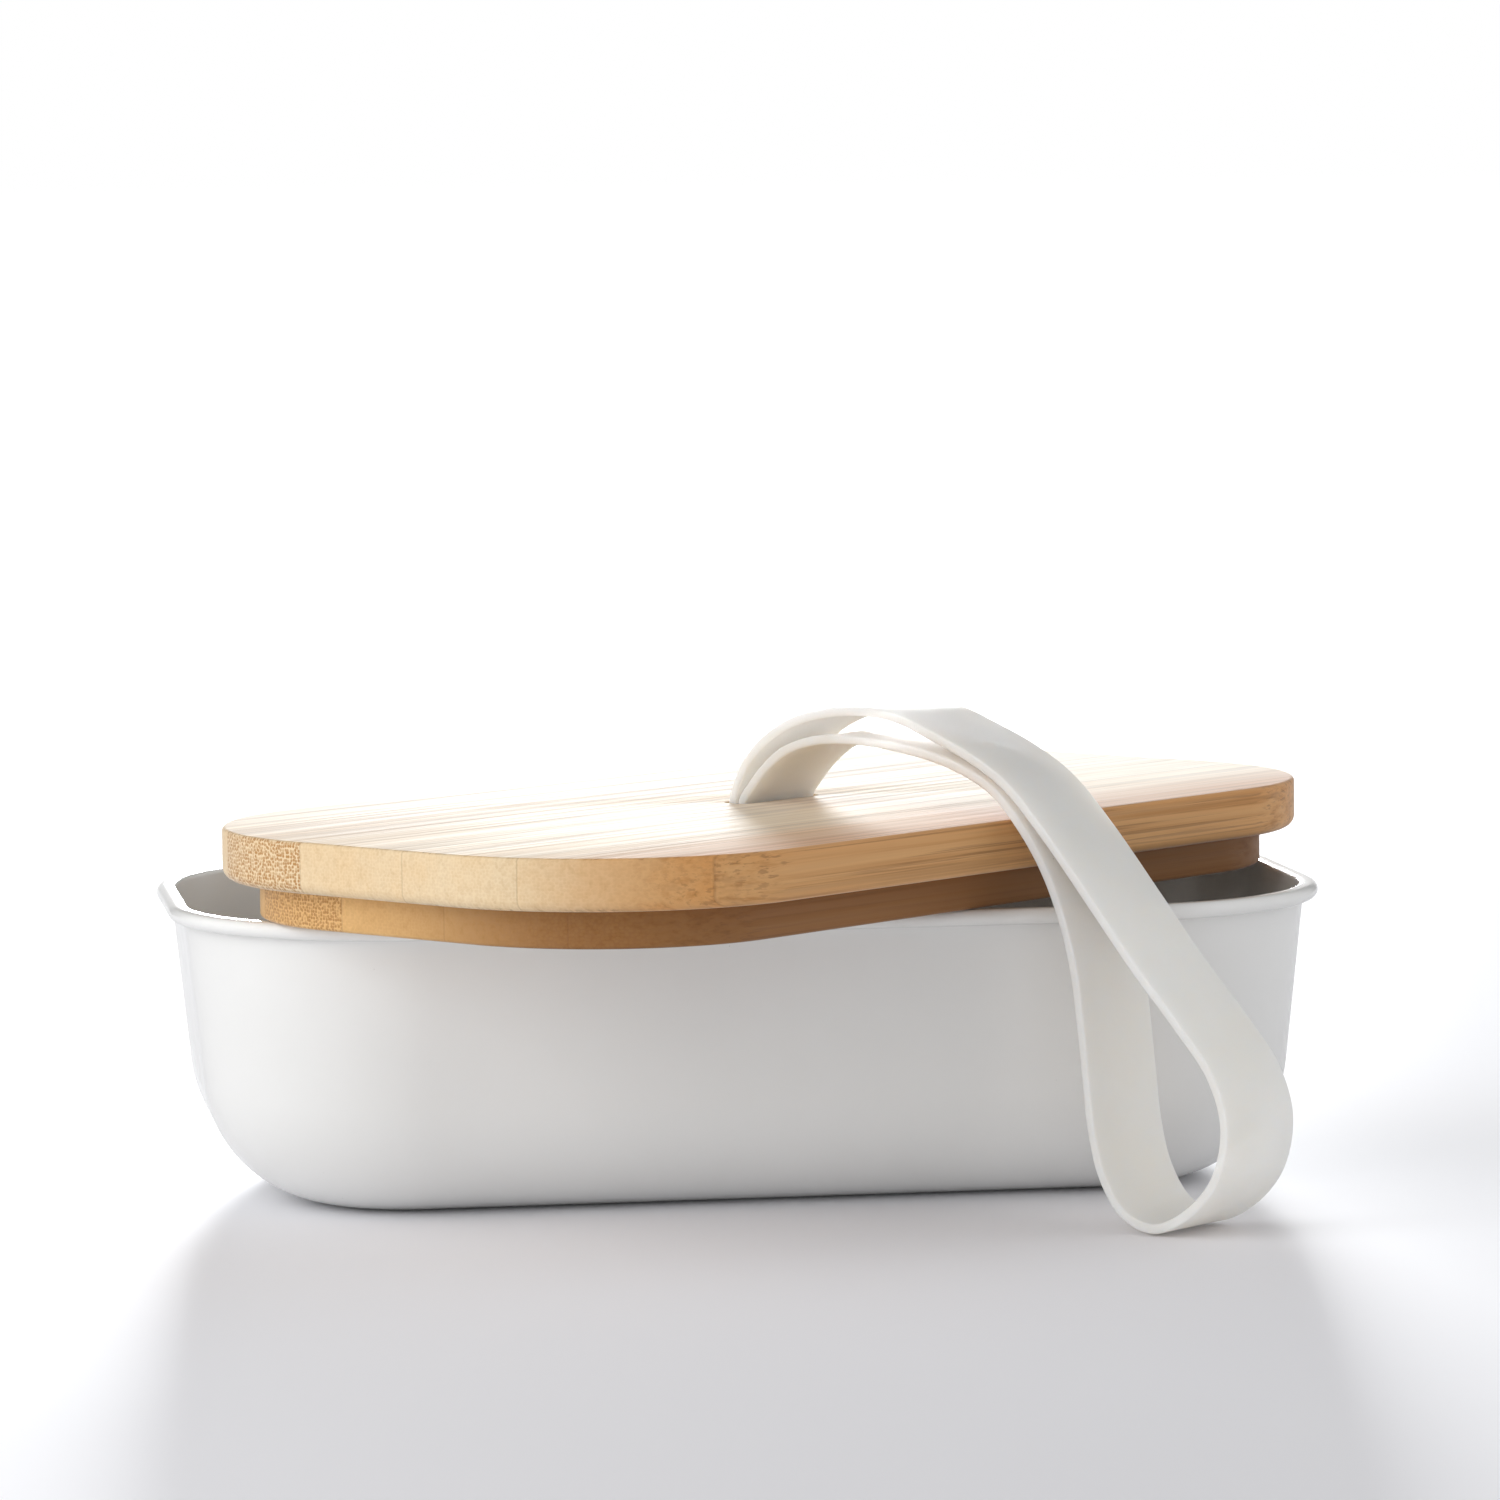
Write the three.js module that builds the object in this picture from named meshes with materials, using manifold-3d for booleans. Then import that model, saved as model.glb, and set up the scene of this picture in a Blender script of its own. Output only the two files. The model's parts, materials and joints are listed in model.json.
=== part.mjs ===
// Bento lunch box: an enamelled steel box, a laminated bamboo lid laid crosswise on its rim, and a
// silicone strap looped through the lid's slot.
// Millimetres. Origin: centre of the box's base, on the surface it stands on. +X along the box, +Z up.
import * as THREE from 'three';
import { mergeVertices } from 'three/addons/utils/BufferGeometryUtils.js';
import Module from 'manifold-3d';

const wasm = await Module();
wasm.setup();

// ---- Driving dimensions ----
const GAP = 0.3;                      // clearance between pieces that touch

const BOX_LENGTH = 200;               // over the rolled rim
const BOX_WIDTH = 113.4;
const BOX_CORNER = 41;                // plan radius of the rim's corners
const BOX_HEIGHT = 51.6;
const SHEET = 1;                      // enamelled steel sheet
const WALL_DRAFT = THREE.MathUtils.degToRad(6);
const BASE_FILLET = 23;               // outer radius between base and wall
const RIM_HEIGHT = 2.7;               // rolled rim
const RIM_OVERHANG = 2.6;             // rim beyond the wall's outer face
const RIM_INNER_ROUND = 0.8;

const LID_LENGTH = 203.2;
const LID_WIDTH = 113.6;
const LID_CORNER = 39.8;
const LID_THICKNESS = 15;             // both plies
const UPPER_PLY = 8.7;
const UPPER_LOWER_ROUND = 2;          // rounding of the upper ply's lower edge
const UPPER_TOP_ROUND = 0.9;
const PLUG_INSET = 6.2;               // the lower ply stands back, to drop inside the rim
const PLUG_ROUND = 0.7;
const LID_TURN = THREE.MathUtils.degToRad(40.7);
const LID_X = 5.6;                    // the lid's centre over the box
const LID_Y = -11.6;

const STRIP_JOINTS = [-53, -30.5, -7.5, 15.4, 38.4];    // glue lines of the upper ply, across the lid
const PLUG_STRIP_SHIFT = -3.3;        // the lower ply's glue lines are staggered by this

const STRAP_WIDTH = 18.5;
const STRAP_THICKNESS = 1.6;
const LAYER_OFFSET = 1.1;             // each layer's middle from the slot's centre plane
const SLOT_LENGTH = 20;
const SLOT_WIDTH = 5;
const SLOT_Y = 0.7;                   // slot's centre across the lid
const SLOT_MOUTH_WIDTH = 7;           // flared lower mouth
const SLOT_MOUTH_DEPTH = 2;
const POCKET_LENGTH = 30;             // pocket in the lower ply for the pin
const POCKET_WIDTH = 7.4;
const PIN_RADIUS = 1;
const PIN_LENGTH = 27;
const PIN_WRAP = THREE.MathUtils.degToRad(15);    // the strap wraps half way round the pin and this past it
const LAYERS_MEET = 4;                // the layers run straight from this far above the pin's axis
const SWING_AXIS_RISE = 0.8;          // the strap bends this far above the lid's top

// ---- Levels, worked out ----
const LID_REST = BOX_HEIGHT + GAP;
const PLUG_TOP = LID_THICKNESS - UPPER_PLY - GAP / 2;
const UPPER_BOTTOM = LID_THICKNESS - UPPER_PLY + GAP / 2;
const PIN_Z = UPPER_BOTTOM - GAP - PIN_RADIUS;
const SWING_Z = LID_THICKNESS + SWING_AXIS_RISE;
const ROOT_RADIUS = LAYER_OFFSET + STRAP_THICKNESS / 2;
const CUT_PAST = 1;                   // cutters run this far past the faces they cut

// The strap's middle line from the slot out to the front and back, outer layer first.
// Each point is [distance in front of the slot's centre plane, height above the floor].
const STRAP_OVER = [
  [-0.6, 70.6], [1.7, 74.4], [5.9, 78.2], [11.6, 81.3], [18.6, 83.2], [26.4, 83.9], [34.0, 83.3],
  [41.6, 80.8], [50.4, 77.3], [58.2, 72.8], [66.2, 65.2], [75.9, 54.4], [85.0, 44.1], [94.2, 34.6],
  [100.4, 27.3], [103.1, 19.4], [101.3, 10.8], [95.8, 4.6], [88.6, 1.3], [82.4, 3.2],
];
const STRAP_UNDER = [
  [78.2, 8.8], [76.0, 16.0], [74.8, 25.0], [73.7, 34.0], [72.4, 42.6], [70.0, 51.0], [66.5, 58.8],
  [61.6, 65.8], [55.4, 71.9], [46.8, 75.8], [36.6, 78.0], [26.4, 78.9], [16.8, 78.5], [9.8, 76.3],
  [5.2, 72.9], [2.4, 69.9],
];

// ---- Fineness ----
const CORNER_STEPS = 9;
const FILLET_STEPS = 8;
const RIM_STEPS = 7;
const ROUND_STEPS = 3;
const STRAP_STEPS = 150;
const ROOT_STEPS = 8;
const PIN_SIDES = 24;

// ---- Materials ----
const enamel = { color: 0xf3f3f4, roughness: 0.16, metalness: 0 };
const bamboo = { color: 0xd9b98c, roughness: 0.5, metalness: 0 };
const silicone = { color: 0xe6e0d8, roughness: 0.42, metalness: 0 };
const steel = { color: 0xb9bbbd, roughness: 0.3, metalness: 1 };

function named(name, geometry, finish) {
  const mesh = new THREE.Mesh(geometry, new THREE.MeshStandardMaterial(finish));
  mesh.name = name;
  return mesh;
}

// ---- Booleans ----
function solid(geometry) {
  const bare = geometry.clone();
  bare.deleteAttribute('normal');
  bare.deleteAttribute('uv');
  const merged = mergeVertices(bare);
  return new wasm.Manifold(new wasm.Mesh({
    numProp: 3,
    vertProperties: new Float32Array(merged.attributes.position.array),
    triVerts: new Uint32Array(merged.index.array),
  }));
}

function geometryOf(manifold) {
  const mesh = manifold.getMesh();
  const geometry = new THREE.BufferGeometry();
  geometry.setAttribute('position', new THREE.BufferAttribute(mesh.vertProperties, 3));
  geometry.setIndex(new THREE.BufferAttribute(mesh.triVerts, 1));
  geometry.computeVertexNormals();
  return geometry;
}

// ---- Rounded-rectangle bodies ----
// A rounded rectangle drawn in by `inset` on every side, anticlockwise from above.
function outline(length, width, corner, inset) {
  const radius = corner - inset;
  const centreX = length / 2 - corner;
  const centreY = width / 2 - corner;
  const points = [];
  for (let quarter = 0; quarter < 4; quarter += 1) {
    const signX = quarter === 0 || quarter === 3 ? 1 : -1;
    const signY = quarter < 2 ? 1 : -1;
    for (let step = 0; step <= CORNER_STEPS; step += 1) {
      const angle = (quarter + step / CORNER_STEPS) * Math.PI / 2;
      points.push(new THREE.Vector2(
        signX * centreX + radius * Math.cos(angle),
        signY * centreY + radius * Math.sin(angle),
      ));
    }
  }
  return points;
}

// A closed solid through a profile of [inset, height] pairs, capped flat at its first and last ring.
function loft(length, width, corner, profile) {
  const rings = profile.map(([inset, z]) =>
    outline(length, width, corner, inset).map((p) => new THREE.Vector3(p.x, p.y, z)));
  const count = rings[0].length;
  const indices = [];
  for (let ring = 0; ring + 1 < rings.length; ring += 1) {
    for (let i = 0; i < count; i += 1) {
      const next = (i + 1) % count;
      const a = ring * count + i;
      const b = ring * count + next;
      indices.push(a, b, b + count, a, b + count, a + count);
    }
  }
  const first = THREE.ShapeUtils.triangulateShape(rings[0], []);
  first.forEach(([a, b, c]) => indices.push(a, c, b));
  const top = (rings.length - 1) * count;
  const last = THREE.ShapeUtils.triangulateShape(rings[rings.length - 1], []);
  last.forEach(([a, b, c]) => indices.push(top + a, top + b, top + c));
  const geometry = new THREE.BufferGeometry().setFromPoints(rings.flat());
  geometry.setIndex(indices);
  geometry.computeVertexNormals();
  return geometry;
}

// An arc of [inset, height] pairs. Angle 0 points outwards and 90 degrees points up.
function arc(inset, z, radius, fromDegrees, toDegrees, steps) {
  const points = [];
  for (let step = 0; step <= steps; step += 1) {
    const angle = THREE.MathUtils.degToRad(fromDegrees + (toDegrees - fromDegrees) * step / steps);
    points.push([inset - radius * Math.cos(angle), z + radius * Math.sin(angle)]);
  }
  return points;
}

// ---- The box ----
function boxShell() {
  const draftDegrees = THREE.MathUtils.radToDeg(WALL_DRAFT);
  const rimUnder = BOX_HEIGHT - RIM_HEIGHT;
  const filletTop = BASE_FILLET * (1 - Math.sin(WALL_DRAFT));
  const filletInset = RIM_OVERHANG + (rimUnder - filletTop) * Math.tan(WALL_DRAFT)
    + BASE_FILLET * Math.cos(WALL_DRAFT);
  const roll = RIM_HEIGHT / 2;
  const innerTop = BOX_HEIGHT - RIM_INNER_ROUND;
  const innerInset = RIM_OVERHANG + SHEET / Math.cos(WALL_DRAFT)
    - (innerTop - rimUnder) * Math.tan(WALL_DRAFT);
  const profile = [
    ...arc(filletInset, BASE_FILLET, BASE_FILLET, -90, -draftDegrees, FILLET_STEPS),
    [RIM_OVERHANG, rimUnder],
    ...arc(roll, BOX_HEIGHT - roll, roll, -90, 90, RIM_STEPS),
    ...arc(innerInset - RIM_INNER_ROUND, innerTop, RIM_INNER_ROUND, 90, 180, ROUND_STEPS),
    ...arc(filletInset, BASE_FILLET, BASE_FILLET - SHEET, -draftDegrees, -90, FILLET_STEPS),
  ];
  return named('box_shell', loft(BOX_LENGTH, BOX_WIDTH, BOX_CORNER, profile), enamel);
}

// ---- The lid ----
// One ply of the lid: a rounded board with rounded lower and upper edges.
function ply(inset, bottom, top, lowerRound, upperRound) {
  const profile = [
    ...arc(inset + lowerRound, bottom + lowerRound, lowerRound, -90, 0, ROUND_STEPS),
    ...arc(inset + upperRound, top - upperRound, upperRound, 0, 90, ROUND_STEPS),
  ];
  return solid(loft(LID_LENGTH, LID_WIDTH, LID_CORNER, profile));
}

// A prism along the lid: a profile of [y, z] pairs, centred on x = 0.
function prism(profile, length) {
  const shape = new THREE.Shape(profile.map(([y, z]) => new THREE.Vector2(y, z)));
  const geometry = new THREE.ExtrudeGeometry(shape, { depth: length, bevelEnabled: false });
  geometry.translate(0, 0, -length / 2);
  geometry.rotateX(Math.PI / 2);
  geometry.rotateZ(Math.PI / 2);
  return geometry;
}

function slotCutter() {
  const half = SLOT_WIDTH / 2;
  const mouth = SLOT_MOUTH_WIDTH / 2;
  const narrow = UPPER_BOTTOM + SLOT_MOUTH_DEPTH;
  return solid(prism([
    [SLOT_Y - mouth, UPPER_BOTTOM - CUT_PAST],
    [SLOT_Y + mouth, UPPER_BOTTOM - CUT_PAST],
    [SLOT_Y + mouth, UPPER_BOTTOM],
    [SLOT_Y + half, narrow],
    [SLOT_Y + half, LID_THICKNESS + CUT_PAST],
    [SLOT_Y - half, LID_THICKNESS + CUT_PAST],
    [SLOT_Y - half, narrow],
    [SLOT_Y - mouth, UPPER_BOTTOM],
  ], SLOT_LENGTH));
}

function pocketCutter() {
  const pocket = new THREE.BoxGeometry(POCKET_LENGTH, POCKET_WIDTH, PLUG_TOP + 2 * CUT_PAST);
  pocket.translate(0, SLOT_Y, PLUG_TOP / 2);
  return solid(pocket);
}

// Cuts a ply into glued strips, front to back, and cuts its opening out of the strip that holds it.
function strips(prefix, board, joints, cutter) {
  const edges = [-LID_WIDTH, ...joints, LID_WIDTH];
  const opened = board.subtract(cutter);
  return edges.slice(1).map((edge, index) => {
    const from = edges[index] + GAP / 2;
    const width = edge - GAP / 2 - from;
    const slab = new THREE.BoxGeometry(2 * LID_LENGTH, width, 4 * LID_THICKNESS);
    slab.translate(0, from + width / 2, 0);
    return named(`${prefix}_${index + 1}`, geometryOf(opened.intersect(solid(slab))), bamboo);
  });
}

function strapPin() {
  const geometry = new THREE.CylinderGeometry(PIN_RADIUS, PIN_RADIUS, PIN_LENGTH, PIN_SIDES);
  geometry.rotateZ(Math.PI / 2);
  const pin = named('strap_pin', geometry, steel);
  pin.position.set(0, SLOT_Y, PIN_Z);
  return pin;
}

// ---- The strap ----
// The two sides of a band whose middle line is given, as lists of points.
function bandSides(middle, thickness) {
  const left = [];
  const right = [];
  middle.forEach((point, i) => {
    const before = middle[Math.max(i - 1, 0)];
    const after = middle[Math.min(i + 1, middle.length - 1)];
    const along = new THREE.Vector2().subVectors(after, before).normalize();
    const across = new THREE.Vector2(-along.y, along.x).multiplyScalar(thickness / 2);
    left.push(point.clone().add(across));
    right.push(point.clone().sub(across));
  });
  return [left, right];
}

// Stands a shape drawn in [distance to the front, height] on end across the strap's width.
function strapPrism(shape) {
  const geometry = new THREE.ExtrudeGeometry(shape, { depth: STRAP_WIDTH, bevelEnabled: false });
  geometry.translate(0, 0, -STRAP_WIDTH / 2);
  geometry.rotateX(Math.PI / 2);
  geometry.rotateZ(-Math.PI / 2);
  return geometry;
}

// The strap inside the lid: two layers down the slot and round the pin.
function strapAnchor() {
  const centre = -SLOT_Y;
  const bend = PIN_RADIUS + GAP + STRAP_THICKNESS / 2;
  const top = SWING_Z - ROOT_RADIUS - GAP;
  const straightEnd = PIN_Z + LAYERS_MEET;
  const middle = [new THREE.Vector2(centre - LAYER_OFFSET, top)];
  middle.push(new THREE.Vector2(centre - LAYER_OFFSET, straightEnd));
  const turns = 2 * ROOT_STEPS;
  for (let step = 0; step <= turns; step += 1) {
    const angle = Math.PI - PIN_WRAP + (Math.PI + 2 * PIN_WRAP) * step / turns;
    middle.push(new THREE.Vector2(centre + bend * Math.cos(angle), PIN_Z + bend * Math.sin(angle)));
  }
  middle.push(new THREE.Vector2(centre + LAYER_OFFSET, straightEnd));
  middle.push(new THREE.Vector2(centre + LAYER_OFFSET, top));
  const [left, right] = bandSides(middle, STRAP_THICKNESS);
  return named('strap_anchor', strapPrism(new THREE.Shape([...left, ...right.reverse()])), silicone);
}

// The free loop: two layers from the slot's mouth, joined there by a round root that can turn in the slot.
function strapLoop() {
  const rootZ = LID_REST + SWING_Z;
  const centre = -SLOT_Y;
  const ends = [[centre - LAYER_OFFSET, rootZ], [centre + LAYER_OFFSET, rootZ]];
  const points = [ends[0], ...STRAP_OVER, ...STRAP_UNDER, ends[1]];
  const route = points.map(([front, z]) => new THREE.Vector3(front, z, 0));
  const curve = new THREE.CatmullRomCurve3(route, false, 'centripetal');
  const middle = curve.getSpacedPoints(STRAP_STEPS).map((p) => new THREE.Vector2(p.x, p.y - LID_REST));
  const [outer, inner] = bandSides(middle, STRAP_THICKNESS);
  const root = [];
  for (let step = 1; step < ROOT_STEPS; step += 1) {
    const angle = -Math.PI * step / ROOT_STEPS;
    const front = centre + ROOT_RADIUS * Math.cos(angle);
    root.push(new THREE.Vector2(front, SWING_Z + ROOT_RADIUS * Math.sin(angle)));
  }
  const shape = new THREE.Shape([...outer, ...root].reverse());
  shape.holes.push(new THREE.Path(inner));
  return named('strap_loop', strapPrism(shape), silicone);
}

// ---- Assembly ----
function lid() {
  const upper = ply(0, UPPER_BOTTOM, LID_THICKNESS, UPPER_LOWER_ROUND, UPPER_TOP_ROUND);
  const plug = ply(PLUG_INSET, 0, PLUG_TOP, PLUG_ROUND, PLUG_ROUND);
  const plugHalf = LID_WIDTH / 2 - PLUG_INSET;
  const plugJoints = STRIP_JOINTS.map((y) => y + PLUG_STRIP_SHIFT).filter((y) => y > -plugHalf);
  const group = new THREE.Group();
  group.add(...strips('lid_strip', upper, STRIP_JOINTS, slotCutter()));
  group.add(...strips('plug_strip', plug, plugJoints, pocketCutter()));
  group.add(strapPin(), strapAnchor(), strapLoop());
  group.position.set(LID_X, LID_Y, LID_REST);
  group.rotation.z = LID_TURN;
  return group;
}

const lunchBox = new THREE.Group();
lunchBox.add(boxShell(), lid());

export default lunchBox;
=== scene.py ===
"""Bento lunch box: enamelled box, laminated bamboo lid and silicone strap, dressed around the CAD frame."""
import json
import math

import bmesh
import bpy
from mathutils import Matrix, Vector


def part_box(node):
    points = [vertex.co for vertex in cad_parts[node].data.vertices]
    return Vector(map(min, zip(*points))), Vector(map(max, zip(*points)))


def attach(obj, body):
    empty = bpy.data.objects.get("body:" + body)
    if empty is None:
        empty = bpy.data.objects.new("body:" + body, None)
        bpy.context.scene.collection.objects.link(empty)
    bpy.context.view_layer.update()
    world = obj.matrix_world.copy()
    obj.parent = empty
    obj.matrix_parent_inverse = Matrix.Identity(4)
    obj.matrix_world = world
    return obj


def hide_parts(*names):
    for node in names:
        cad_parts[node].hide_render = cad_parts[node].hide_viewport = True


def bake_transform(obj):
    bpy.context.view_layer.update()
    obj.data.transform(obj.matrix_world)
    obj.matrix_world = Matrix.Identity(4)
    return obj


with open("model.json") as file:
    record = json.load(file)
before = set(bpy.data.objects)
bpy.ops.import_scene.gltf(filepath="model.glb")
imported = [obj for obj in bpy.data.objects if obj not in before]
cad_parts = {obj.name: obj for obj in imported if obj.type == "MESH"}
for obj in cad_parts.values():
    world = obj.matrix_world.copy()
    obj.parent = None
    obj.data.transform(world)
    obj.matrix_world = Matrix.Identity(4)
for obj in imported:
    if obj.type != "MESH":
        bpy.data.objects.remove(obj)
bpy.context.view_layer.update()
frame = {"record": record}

MM = 0.001

# ---- Places and sizes that the frame gives ----
UPPER_NODES = [f"lid_strip_{i}" for i in range(1, 7)]
PLUG_NODES = [f"plug_strip_{i}" for i in range(1, 6)]
BOX_LOW, BOX_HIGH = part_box("box_shell")
UPPER_LOW, UPPER_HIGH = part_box("lid_strip_4")
PLUG_LOW, PLUG_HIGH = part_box("plug_strip_3")
PIN_LOW, PIN_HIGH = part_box("strap_pin")
SWING = next(j for j in frame["record"]["behaviour"]["joints"] if j["name"] == "strap_swing")
LID_ANGLE = math.atan2(-SWING["axis"][1], -SWING["axis"][0])
SWING_POINT = Vector(SWING["pos_m"])


def lid_centre():
    """The lid's centre on its underside, from the box round the whole upper ply."""
    strips = [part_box(node) for node in UPPER_NODES]
    low = [min(s[0][k] for s in strips) for k in range(2)]
    high = [max(s[1][k] for s in strips) for k in range(2)]
    return Vector(((low[0] + high[0]) / 2, (low[1] + high[1]) / 2, PLUG_LOW.z))


LID_CENTRE = lid_centre()
LID_MATRIX = Matrix.Translation(LID_CENTRE) @ Matrix.Rotation(LID_ANGLE, 4, "Z")

# ---- The box ----
BOX_LENGTH = BOX_HIGH.x - BOX_LOW.x
BOX_WIDTH = BOX_HIGH.y - BOX_LOW.y
BOX_HEIGHT = BOX_HIGH.z
BOX_CORNER = 41 * MM
SHEET = 1.0 * MM
WALL_DRAFT = math.radians(6)
BASE_FILLET = 23 * MM
RIM_HEIGHT = 2.7 * MM
RIM_OVERHANG = 2.6 * MM
RIM_INNER_ROUND = 0.8 * MM
CURL_CREVICE = 0.2 * MM       # between the curl's end and the wall
CURL_BEVEL = 0.2 * MM         # on the curl's end
CURL_TUCK = 0.1 * MM          # how far the wall's top leans out inside the curl

# ---- The lid, in its own frame: +X along the grain, z = 0 at the underside ----
LID_LENGTH = 203.2 * MM
LID_WIDTH = 113.6 * MM
LID_CORNER = 39.8 * MM
LID_THICKNESS = UPPER_HIGH.z - PLUG_LOW.z
PLY_JOINT = (UPPER_LOW.z + PLUG_HIGH.z) / 2 - PLUG_LOW.z
UPPER_LOWER_ROUND = 2.0 * MM
UPPER_TOP_ROUND = 0.7 * MM
PLUG_INSET = 6.2 * MM
PLUG_ROUND = 0.7 * MM
SEAT = 0.25 * MM              # the plug reaches down this far to meet the rim
GLUE_OVERLAP = 0.05 * MM
CUT_PAST = 1 * MM             # cutters run this far past the faces they cut
SLOT_LENGTH = 20 * MM
SLOT_WIDTH = 5 * MM
SLOT_CORNER = 1.2 * MM
SLOT_EDGE_ROUND = 0.5 * MM
SLOT_MOUTH = 1.0 * MM         # flare of the slot's lower mouth
SLOT_MOUTH_DEPTH = 2.0 * MM
POCKET_LENGTH = 30 * MM
POCKET_WIDTH = 7.4 * MM
POCKET_CORNER = 3.0 * MM
POCKET_EDGE = 0.4 * MM        # bevel round the pocket's mouth
STRIP_JOINT = 15.4 * MM       # one glue line's place across the upper ply
STRIP_PITCH = 22.95 * MM
PLUG_STRIP_SHIFT = -3.3 * MM

# ---- The strap ----
STRAP_WIDTH = 18.5 * MM
STRAP_THICKNESS = 1.6 * MM
STRAP_EDGE_ROUND = 0.35 * MM
LAYER_OFFSET = 1.1 * MM
PIN_RADIUS = 1.0 * MM
PIN_CLEARANCE = 0.3 * MM
PIN_CHAMFER = 0.25 * MM
PIN_WRAP = 15                 # degrees that the strap wraps past half way round the pin
PIN_WRAP_STEP = 30
LAYERS_MEET = 4 * MM          # the layers run straight from this far above the pin's axis
ROOT_STRAIGHT = (3.5 * MM, 0.5 * MM)    # points this far below the bend keep the root straight
# The middle line out to the front and back: [distance in front of the slot's centre plane, height], mm.
STRAP_OVER = [
    (-0.6, 70.6), (1.7, 74.4), (5.9, 78.2), (11.6, 81.3), (18.6, 83.2), (26.4, 83.9), (34.0, 83.3),
    (41.6, 80.8), (50.4, 77.3), (58.2, 72.8), (66.2, 65.2), (75.9, 54.4), (85.0, 44.1), (94.2, 34.6),
    (100.4, 27.3), (103.1, 19.4), (101.3, 10.8), (95.8, 4.6), (88.6, 1.3), (82.4, 3.2),
]
STRAP_UNDER = [
    (78.2, 8.8), (76.0, 16.0), (74.8, 25.0), (73.7, 34.0), (72.4, 42.6), (70.0, 51.0), (66.5, 58.8),
    (61.6, 65.8), (55.4, 71.9), (46.8, 75.8), (36.6, 78.0), (26.4, 78.9), (16.8, 78.5), (9.8, 76.3),
    (5.2, 72.9), (2.4, 69.9),
]

# ---- Fineness ----
CORNER_STEPS = 40
FILLET_STEPS = 28
WALL_STEPS = 8
CURL_STEPS = 14
ROUND_STEPS = 6
STRAP_STEPS = 12          # per stretch between two points of the middle line
SECTION_STEPS = 4
PIN_SIDES = 40
SMOOTH_ANGLE = math.radians(35)


# ---- Mesh helpers ----
def outline(length, width, corner, inset, steps=CORNER_STEPS):
    """A rounded rectangle drawn in by inset on every side, anticlockwise from above."""
    radius = corner - inset
    points = []
    for quarter in range(4):
        sign_x = 1 if quarter in (0, 3) else -1
        sign_y = 1 if quarter < 2 else -1
        for step in range(steps + 1):
            angle = (quarter + step / steps) * math.pi / 2
            points.append((sign_x * (length / 2 - corner) + radius * math.cos(angle),
                           sign_y * (width / 2 - corner) + radius * math.sin(angle)))
    return points


def arc(inset, z, radius, from_degrees, to_degrees, steps):
    """(inset, height) pairs round an arc. 0 degrees points outwards and 90 up."""
    turns = [math.radians(from_degrees + (to_degrees - from_degrees) * i / steps) for i in range(steps + 1)]
    return [(inset - radius * math.cos(t), z + radius * math.sin(t)) for t in turns]


def make_object(name, bm):
    bmesh.ops.recalc_face_normals(bm, faces=bm.faces)
    mesh = bpy.data.meshes.new(name)
    bm.to_mesh(mesh)
    bm.free()
    obj = bpy.data.objects.new(name, mesh)
    bpy.context.scene.collection.objects.link(obj)
    return obj


def smooth(obj):
    """Smooth shading, with creases kept at real edges."""
    obj.data.polygons.foreach_set("use_smooth", [True] * len(obj.data.polygons))
    obj.data.set_sharp_from_angle(angle=SMOOTH_ANGLE)


def bridge(bm, first, second):
    """Faces between two rings of as many vertices."""
    for i in range(len(first)):
        j = (i + 1) % len(first)
        bm.faces.new((first[i], first[j], second[j], second[i]))


def capped(name, bm, rings):
    """A closed solid through the rings, with a face at each end."""
    for first, second in zip(rings, rings[1:]):
        bridge(bm, first, second)
    bm.faces.new(list(reversed(rings[0])))
    bm.faces.new(rings[-1])
    return make_object(name, bm)


def loft(name, size, profile, steps=CORNER_STEPS):
    """A closed solid of rounded-rectangle rings through (inset, height) pairs."""
    length, width, corner = size
    bm = bmesh.new()
    rings = []
    for inset, z in profile:
        rings.append([bm.verts.new((x, y, z)) for x, y in outline(length, width, corner, inset, steps)])
    return capped(name, bm, rings)


def cut(obj, cutter):
    """Takes the cutter's shape out of obj and removes the cutter."""
    modifier = obj.modifiers.new("cut", "BOOLEAN")
    modifier.object = cutter
    modifier.operation = "DIFFERENCE"
    modifier.solver = "EXACT"
    bpy.context.view_layer.objects.active = obj
    bpy.ops.object.modifier_apply(modifier=modifier.name)
    bpy.data.objects.remove(cutter)


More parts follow.
